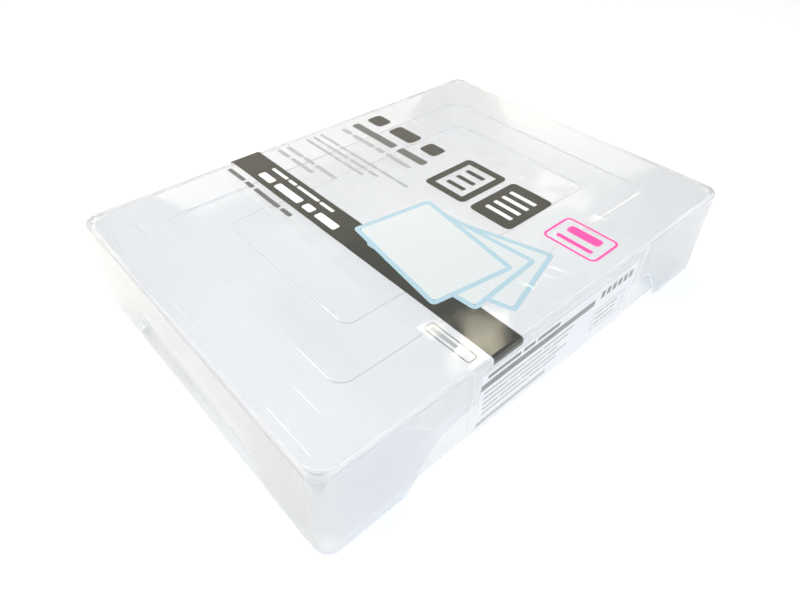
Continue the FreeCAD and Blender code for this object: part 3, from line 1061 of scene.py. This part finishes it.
@dataclass
class FilmPrint:
    """The print on the back of the film: plain bars, a stripe and pictures of blank sheets."""

    film: FilmBand
    ink_thickness: float = 0.012
    layer_step: float = 0.016
    bar_gap: float = 0.7
    bar_round: float = 0.25
    stripe_overhang: float = 2.6
    panel_head: float = 6.0
    panel_hem: float = 1.0
    mesh_step: float = 2.0
    corner_steps: int = 4

    def bars(
        self, ink: Ink, u: float, v: float, lengths: tuple[float, ...], tall: float, upright: bool = False
    ) -> list[Mark]:
        """A row of plain bars with gaps.

        Args:
            ink: The bars' ink.
            u: Where the row starts, across the case.
            v: Where the row starts, along the case.
            lengths: Length of each bar.
            tall: Height of the bars, which also sets their gaps and their rounding.
            upright: True if the row runs along the case, as on the long walls.

        Returns:
            One mark per bar.
        """
        marks, place, radius = [], 0.0, self.bar_round * tall
        for length in lengths:
            middle = place + length / 2
            if upright:
                marks.append(Mark(ink, u, v + middle, tall, length, radius))
            else:
                marks.append(Mark(ink, u + middle, v, length, tall, radius))
            place += length + self.bar_gap * tall
        return marks

    def stripe(self) -> list[Mark]:
        """A dark stripe across the case, over both bends, with pale bars on it.

        Returns:
            The stripe and its bars.
        """
        edge = self.film.flat_half + self.film.bend + self.stripe_overhang
        marks = [Mark(Ink.CHARCOAL, 0.0, -48.0, 2 * edge, 20.8, layer=3)]
        marks += self.bars(Ink.WHITE, -90.0, -51.4, (14.0, 26.0, 9.0, 19.0), 5.6)
        marks += self.bars(Ink.WHITE, -90.0, -42.6, (17.0, 8.0, 22.0, 13.0), 2.4)
        return marks

    def page_signs(self) -> list[Mark]:
        """Two bold blank pages, one drawn in outline and one solid with ruled lines.

        Returns:
            The pages and their lines.
        """
        marks = [Mark(Ink.CHARCOAL, 2.0, 43.0, 34.0, 42.0, radius=3.5, stroke=5.2)]
        marks += [Mark(Ink.CHARCOAL, 2.0, 52.0 - 9.0 * row, 15.0, 3.6, radius=0.8) for row in range(3)]
        marks.append(Mark(Ink.CHARCOAL, 40.0, 43.0, 32.0, 42.0, radius=3.5, layer=2))
        marks += [Mark(Ink.WHITE, 40.0, 54.0 - 7.4 * row, 20.0, 3.2, radius=0.8) for row in range(4)]
        return marks

    def ruled_lines(self) -> list[Mark]:
        """Rows of plain bars on the left-hand half of the top.

        Returns:
            The bars.
        """
        marks = self.bars(Ink.CHARCOAL, -104.0, 54.0, (15.0, 24.0, 15.0), 12.5)
        marks += self.bars(Ink.SLATE, -104.0, 37.0, (44.0, 26.0), 6.4)
        marks += self.bars(Ink.GREY, -104.0, 26.0, (10.0, 22.0, 8.0, 24.0), 3.6)
        rows = ((22.0, 8.0, 30.0, 14.0, 12.0), (12.0, 26.0, 18.0, 9.0), (30.0, 9.0, 20.0))
        for row, lengths in enumerate(rows):
            marks += self.bars(Ink.GREY, -108.0, 9.0 - 6.0 * row, lengths, 2.2)
        for row, lengths in enumerate(((18.0, 11.0, 21.0), (13.0, 24.0))):
            marks += self.bars(Ink.GREY, -108.0, -19.0 - 7.0 * row, lengths, 3.0)
        marks += self.bars(Ink.SLATE, -108.0, -64.5, (19.0, 8.0, 27.0, 10.0), 3.2)
        return marks

    def sheet_fan(self) -> list[Mark]:
        """Three blank pale-blue sheets, fanned out on one another.

        Returns:
            The edge and the face of each sheet.
        """
        marks = []
        sheets = ((3, 17.0, 58.0, -13.0), (2, 5.0, 48.0, -18.0), (1, -8.0, 38.0, -23.0))
        for layer, turn, u, v in sheets:
            marks.append(Mark(Ink.DEEP_BLUE, u, v, 78.0, 54.0, 3.0, stroke=3.0, turn=turn, layer=layer))
            marks.append(Mark(Ink.PALE_BLUE, u, v, 72.0, 48.0, 1.5, turn=turn, layer=layer))
        return marks

    def frames(self) -> list[Mark]:
        """A pink rounded frame with two bars, and a thin grey one with one bar.

        Returns:
            The frames and their bars.
        """
        return [
            Mark(Ink.PINK, 88.0, 47.0, 36.0, 26.0, radius=4.0, stroke=1.5),
            Mark(Ink.PINK, 88.0, 51.0, 22.0, 7.0, radius=2.0),
            Mark(Ink.PINK, 88.0, 41.0, 24.0, 3.0, radius=1.0),
            Mark(Ink.SLATE, 96.0, -66.2, 30.0, 6.6, radius=1.6, stroke=0.5),
            Mark(Ink.GREY, 92.0, -66.2, 17.0, 2.2, radius=0.5),
        ]

    def side_panel(self) -> list[Mark]:
        """A frosted panel on the right-hand wall with plain bars and small squares.

        Returns:
            The panel and what is printed on it.
        """
        high = self.film.flat_half + self.film.bend + self.panel_head
        low = self.film.half_length - self.panel_hem
        marks = [Mark(Ink.FROST, (high + low) / 2, 0.5, low - high, 131.0, radius=0.6, layer=3)]
        marks += self.bars(Ink.SLATE, high + 3.0, -61.0, (24.0, 9.0, 18.0), 2.6, upright=True)
        marks.append(Mark(Ink.SLATE, high + 8.6, -19.5, 4.6, 91.0))
        rows = ((31.0, 12.0, 26.0), (18.0, 33.0, 14.0), (27.0, 21.0, 9.0), (12.0, 16.0, 38.0))
        for row, lengths in enumerate((*rows, (36.0, 10.0, 12.0))):
            marks += self.bars(Ink.GREY, high + 14.6 + 4.0 * row, -62.0, lengths, 1.6, upright=True)
        marks.append(Mark(Ink.GREY, high + 37.2, -37.5, 3.0, 55.0))
        marks += [Mark(Ink.SLATE, high + 6.5, 33.0 + 5.4 * square, 5.0, 3.6) for square in range(6)]
        marks.append(Mark(Ink.GREY, high + 25.0, 44.0, 16.0, 30.0, radius=1.0, stroke=0.6))
        for row, lengths in enumerate(((8.0, 12.0), (14.0, 5.0), (6.0, 13.0))):
            marks += self.bars(Ink.GREY, high + 20.6 + 4.2 * row, 31.5, lengths, 1.6, upright=True)
        return marks

    def laid_ring(self, mark: Mark, perimeter: Perimeter, inset: float, depth: float) -> Array:
        """A ring within a mark's edge, turned about the mark's middle, moved and laid on the film.

        Args:
            mark: The mark.
            perimeter: The ring's stations.
            inset: Distance in from the mark's edge.
            depth: Distance inwards from the film's outer face.

        Returns:
            The ring's points.
        """
        half_u, half_v = mark.width / 2 - inset, mark.height / 2 - inset
        x, y, _ = perimeter.ring(half_u, half_v, max(mark.radius - inset, 0.0), 0.0).T
        cosine, sine = math.cos(math.radians(mark.turn)), math.sin(math.radians(mark.turn))
        return self.film.surface(mark.u + x * cosine - y * sine, mark.v + x * sine + y * cosine, depth)

    def skin(self, mark: Mark) -> Skin:
        """A mark's thin closed skin.

        A plain oblong is a slab on a grid. A rounded one is rings about its middle, over the outer face
        and back under the inner one. A frame is four rings round its stroke.

        Args:
            mark: The mark.

        Returns:
            Points and faces.
        """
        outer = self.film.thickness + mark.layer * self.layer_step
        inner = outer + self.ink_thickness
        half_u, half_v, step = mark.width / 2, mark.height / 2, self.mesh_step
        if not mark.radius:
            u = self.film.run_places(mark.u - half_u, mark.u + half_u, step)
            v = np.linspace(mark.v - half_v, mark.v + half_v, max(2, int(mark.height / step)))
            return self.film.slab(u, v, outer, inner)
        long_steps, short_steps = max(1, round(mark.height / step)), max(1, round(mark.width / step))
        perimeter = Perimeter(long_steps, short_steps, self.corner_steps)
        if mark.stroke:
            path = [(mark.stroke, outer), (0.0, outer), (0.0, inner), (mark.stroke, inner)]
        else:
            reach = min(half_u, half_v)
            insets = np.linspace(reach, 0.0, max(2, int(reach / step) + 1))
            path = [(inset, outer) for inset in insets] + [(inset, inner) for inset in insets[::-1]]
        rings = [self.laid_ring(mark, perimeter, inset, depth) for inset, depth in path]
        points, faces, _ = shell(rings, looped=mark.stroke > 0)
        return points, faces

    def build(self) -> list[Piece]:
        """Makes one dressed piece per ink.

        Returns:
            The pieces.
        """
        marks = self.stripe() + self.page_signs() + self.ruled_lines() + self.sheet_fan()
        marks += self.frames() + self.side_panel()
        pieces = []
        for ink in Ink:
            skins = [self.skin(mark) for mark in marks if mark.ink is ink]
            piece = mesh_piece(f"print_{ink.name.lower()}", skins)
            piece.data.materials.append(GravureInk(ink).material())
            # The coat is thinner than paper, so it neither shades nor mirrors in the lid just below it
            piece.visible_shadow = False
            piece.visible_glossy = False
            piece.visible_diffuse = False
            pieces.append(piece)
        return pieces


@dataclass(frozen=True)
class SkyPatch:
    """A patch of the room, in degrees: its middle's turn from +X and height, half sizes and soft edge."""

    azimuth: float
    elevation: float
    half_width: float
    half_height: float
    soft: float
    colour: str
    strength: float


@dataclass(frozen=True)
class Softbox:
    """A square soft lamp aimed at the case, in metres and watts.

    One that is not mirrored stands behind a screen that keeps it out of gloss and of clear walls.
    """

    name: str
    place: tuple[float, float, float]
    side: float
    watts: float
    colour: str
    mirrored: bool = True

    def hang(self) -> None:
        """Makes the lamp."""
        data = bpy.data.lights.new(self.name, "AREA")
        data.shape = "SQUARE"
        data.size = self.side
        data.energy = self.watts
        data.color = hex_to_linear(self.colour)[:3]
        lamp = bpy.data.objects.new(self.name, data)
        lamp.location = self.place
        lamp.rotation_euler = (-Vector(self.place)).to_track_quat("-Z", "Y").to_euler()
        lamp.visible_camera = False
        lamp.visible_glossy = self.mirrored
        lamp.visible_transmission = self.mirrored
        bpy.context.scene.collection.objects.link(lamp)


@dataclass(frozen=True)
class Studio:
    """A pale sweep, a room that is warm at the horizon and cool above, soft lamps and the camera."""

    eye_mm: tuple[float, float, float] = (223.81, -215.24, 268.06)
    target_mm: tuple[float, float, float] = (32.98, -40.67, 30.0)
    roll_degrees: float = 0.985
    lens_mm: float = 27.24
    sensor_mm: float = 36.0
    near_clip_m: float = 0.01
    floor_half_m: float = 6.0
    floor_lines: int = 9
    floor_colour: str = "#f6f6f6"
    floor_roughness: float = 0.9
    floor_shine: float = 0.1
    floor_lift: float = 0.15
    floor_gap_mm: float = 0.1
    horizon_colour: str = "#fffdf8"
    zenith_colour: str = "#e9edf3"
    room_strength: float = 0.79
    horizon_top: float = 28.0
    zenith_foot: float = 50.0
    patches: tuple[SkyPatch, ...] = (
        SkyPatch(155.0, 17.0, 33.0, 19.5, 1.5, "#ffebc6", 0.2),
        SkyPatch(121.5, 14.0, 7.0, 8.0, 1.5, "#fff8e4", 4.2),
        SkyPatch(127.0, 47.4, 3.6, 1.8, 1.2, "#fff6da", 3.0),
        SkyPatch(126.3, 45.0, 2.8, 1.6, 1.2, "#fff6da", 3.8),
        SkyPatch(120.5, 31.8, 3.0, 1.2, 0.8, "#fffbe8", 1.6),
        SkyPatch(38.0, 21.0, 32.0, 8.0, 4.0, "#fdfdff", 2.0),
    )
    dim_wall: SkyPatch = SkyPatch(155.0, 35.0, 48.0, 33.0, 9.0, "#000000", -0.18)
    lamps: tuple[Softbox, ...] = (
        Softbox("cool_softbox", (1.6, -0.3, 0.8), 1.0, 3.2, "#e6eeff"),
        Softbox("far_softbox", (-0.42, 0.0, 0.62), 0.4, 2.6, "#fff6ea", mirrored=False),
        Softbox("warm_softbox", (-0.5, -1.4, 1.0), 0.8, 4.8, "#ffe9ce"),
    )
    light_paths: int = 24

    def sweep(self) -> None:
        """A level floor of matt white paper, which has next to no gloss, laid as a grid."""
        lines = np.linspace(-self.floor_half_m, self.floor_half_m, self.floor_lines) / MM
        y, x = np.meshgrid(lines, lines, indexing="ij")
        points = np.column_stack([x.ravel(), y.ravel(), np.full(x.size, -self.floor_gap_mm)])
        number = np.arange(x.size).reshape(x.shape)
        corners = [number[:-1, :-1], number[:-1, 1:], number[1:, 1:], number[1:, :-1]]
        quads = np.stack(corners, axis=-1).reshape(-1, 4)
        floor = mesh_piece("floor", [(points, [tuple(quad) for quad in quads.tolist()])])
        paper = bpy.data.materials.new("matt_white_paper")
        tree = empty_tree(paper)
        matt = {"Roughness": self.floor_roughness, "Specular IOR Level": self.floor_shine}
        sheet = add_node(tree, "BsdfPrincipled", {"Base Color": hex_to_linear(self.floor_colour), **matt})
        # A little light of its own, to the eye only, brings the sweep up to white and keeps its shadow
        share = {0: seen_by_eye(tree), 1: self.floor_lift}
        lift = add_node(tree, "Math", share, operation="MULTIPLY").outputs[0]
        glow = add_node(tree, "Emission", {"Strength": lift}).outputs["Emission"]
        both = add_node(tree, "AddShader", {0: sheet.outputs["BSDF"], 1: glow})
        add_node(tree, "OutputMaterial", {"Surface": both.outputs["Shader"]})
        floor.data.materials.append(paper)

    def patch_share(self, tree: Tree, way: Socket, patch: SkyPatch) -> Socket:
        """The strength of a soft-edged patch of the room.

        The way's turn from the patch's middle is the arctangent of its share to the left over its share
        ahead, and its height is the arcsine of its Z. Each is weighed by an S-curve at the patch's edge.

        Args:
            tree: The world's node tree.
            way: The direction that light comes from.
            patch: The patch.

        Returns:
            The patch's strength inside its edges, and nothing outside them.
        """
        turn, soft = math.radians(patch.azimuth), math.radians(patch.soft)
        cosine, sine, shares = math.cos(turn), math.sin(turn), []
        for axis in ((cosine, sine, 0.0), (-sine, cosine, 0.0), (0.0, 0.0, 1.0)):
            part = add_node(tree, "VectorMath", {0: way, 1: axis}, operation="DOT_PRODUCT")
            shares.append(part.outputs["Value"])
        ahead, left, up = shares
        aside = add_node(tree, "Math", {0: left, 1: ahead}, operation="ARCTAN2").outputs[0]
        rise = add_node(tree, "Math", {0: up}, operation="ARCSINE").outputs[0]
        climb = {0: rise, 1: math.radians(patch.elevation)}
        above = add_node(tree, "Math", climb, operation="SUBTRACT").outputs[0]
        share = patch.strength
        for offset, reach in ((aside, patch.half_width), (above, patch.half_height)):
            apart = add_node(tree, "Math", {0: offset}, operation="ABSOLUTE").outputs[0]
            edge = math.radians(reach)
            fade = {"Value": apart, "From Min": edge + soft, "From Max": edge - soft}
            inside = add_node(tree, "MapRange", fade, interpolation_type="SMOOTHSTEP")
            weighed = {0: inside.outputs["Result"], 1: share}
            share = add_node(tree, "Math", weighed, operation="MULTIPLY").outputs[0]
        return share

    def room(self) -> None:
        """A world from warm white to cool grey with height, with bright patches, and white to the eye."""
        world = bpy.data.worlds.new("studio_room")
        bpy.context.scene.world = world
        tree = empty_tree(world)
        way = add_node(tree, "TexCoord").outputs["Generated"]
        parts = add_node(tree, "SeparateXYZ", {"Vector": way})
        low, high = math.sin(math.radians(self.horizon_top)), math.sin(math.radians(self.zenith_foot))
        climb = {"Value": parts.outputs["Z"], "From Min": low, "From Max": high}
        rise = add_node(tree, "MapRange", climb, interpolation_type="SMOOTHSTEP").outputs["Result"]
        tones = {0: rise, 6: hex_to_linear(self.horizon_colour), 7: hex_to_linear(self.zenith_colour)}
        colour = add_node(tree, "Mix", tones, data_type="RGBA").outputs[2]
        # The wall that the top mirrors lies in half-shade, and the patches shine in front of it
        dimmed = {0: self.patch_share(tree, way, self.dim_wall), 1: self.room_strength}
        level = add_node(tree, "Math", dimmed, operation="ADD").outputs[0]
        light = add_node(tree, "Background", {"Color": colour, "Strength": level})
        whole = light.outputs["Background"]
        for patch in self.patches:
            glow = {"Color": hex_to_linear(patch.colour), "Strength": self.patch_share(tree, way, patch)}
            added = add_node(tree, "Background", glow).outputs["Background"]
            whole = add_node(tree, "AddShader", {0: whole, 1: added}).outputs["Shader"]
        backdrop = add_node(tree, "Background", {"Color": PURE_WHITE, "Strength": 1.0})
        views = {0: seen_by_eye(tree), 1: whole, 2: backdrop.outputs["Background"]}
        shown = add_node(tree, "MixShader", views)
        add_node(tree, "OutputWorld", {"Surface": shown.outputs["Shader"]})

    def camera(self) -> None:
        """The photograph's viewpoint: an eye, the point it looks at, and a slight roll about that line."""
        data = bpy.data.cameras.new("viewpoint")
        data.lens, data.sensor_width = self.lens_mm, self.sensor_mm
        data.clip_start = self.near_clip_m
        eye, target = Vector(self.eye_mm) * MM, Vector(self.target_mm) * MM
        turn = (target - eye).to_track_quat("-Z", "Y").to_matrix()
        camera = bpy.data.objects.new("viewpoint", data)
        roll = Matrix.Rotation(math.radians(self.roll_degrees), 3, "Z")
        camera.matrix_world = Matrix.Translation(eye) @ (turn @ roll).to_4x4()
        bpy.context.scene.collection.objects.link(camera)
        bpy.context.scene.camera = camera

    def set_up(self) -> None:
        """Builds the whole studio."""
        scene = bpy.context.scene
        scene.view_settings.view_transform = "Standard"
        # Light passes many clear walls on its way, so its paths are let run long
        scene.cycles.max_bounces = self.light_paths
        scene.cycles.transmission_bounces = self.light_paths
        scene.cycles.transparent_max_bounces = self.light_paths
        self.sweep()
        self.room()
        for lamp in self.lamps:
            lamp.hang()
        self.camera()


def main() -> None:
    """Builds the case's pieces in order, dresses them and sets the studio up."""
    logging.basicConfig(level=logging.INFO, format="%(name)s: %(message)s")
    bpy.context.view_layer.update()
    tray = Tray().build()
    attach(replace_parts(tray, "base_tray"), "tray")
    lid = Lid().build()
    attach(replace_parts(lid, "lid"), "cover")
    band = FilmBand()
    film = band.build()
    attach(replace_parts(film, "film_band"), "band")
    inks = FilmPrint(band).build()
    for ink in inks:
        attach(ink, "band")
    for piece in (tray, lid, film, *inks):
        log.info("%s: %d faces", piece.name, len(piece.data.polygons))
    Studio().set_up()


if __name__ == "__main__":
    main()
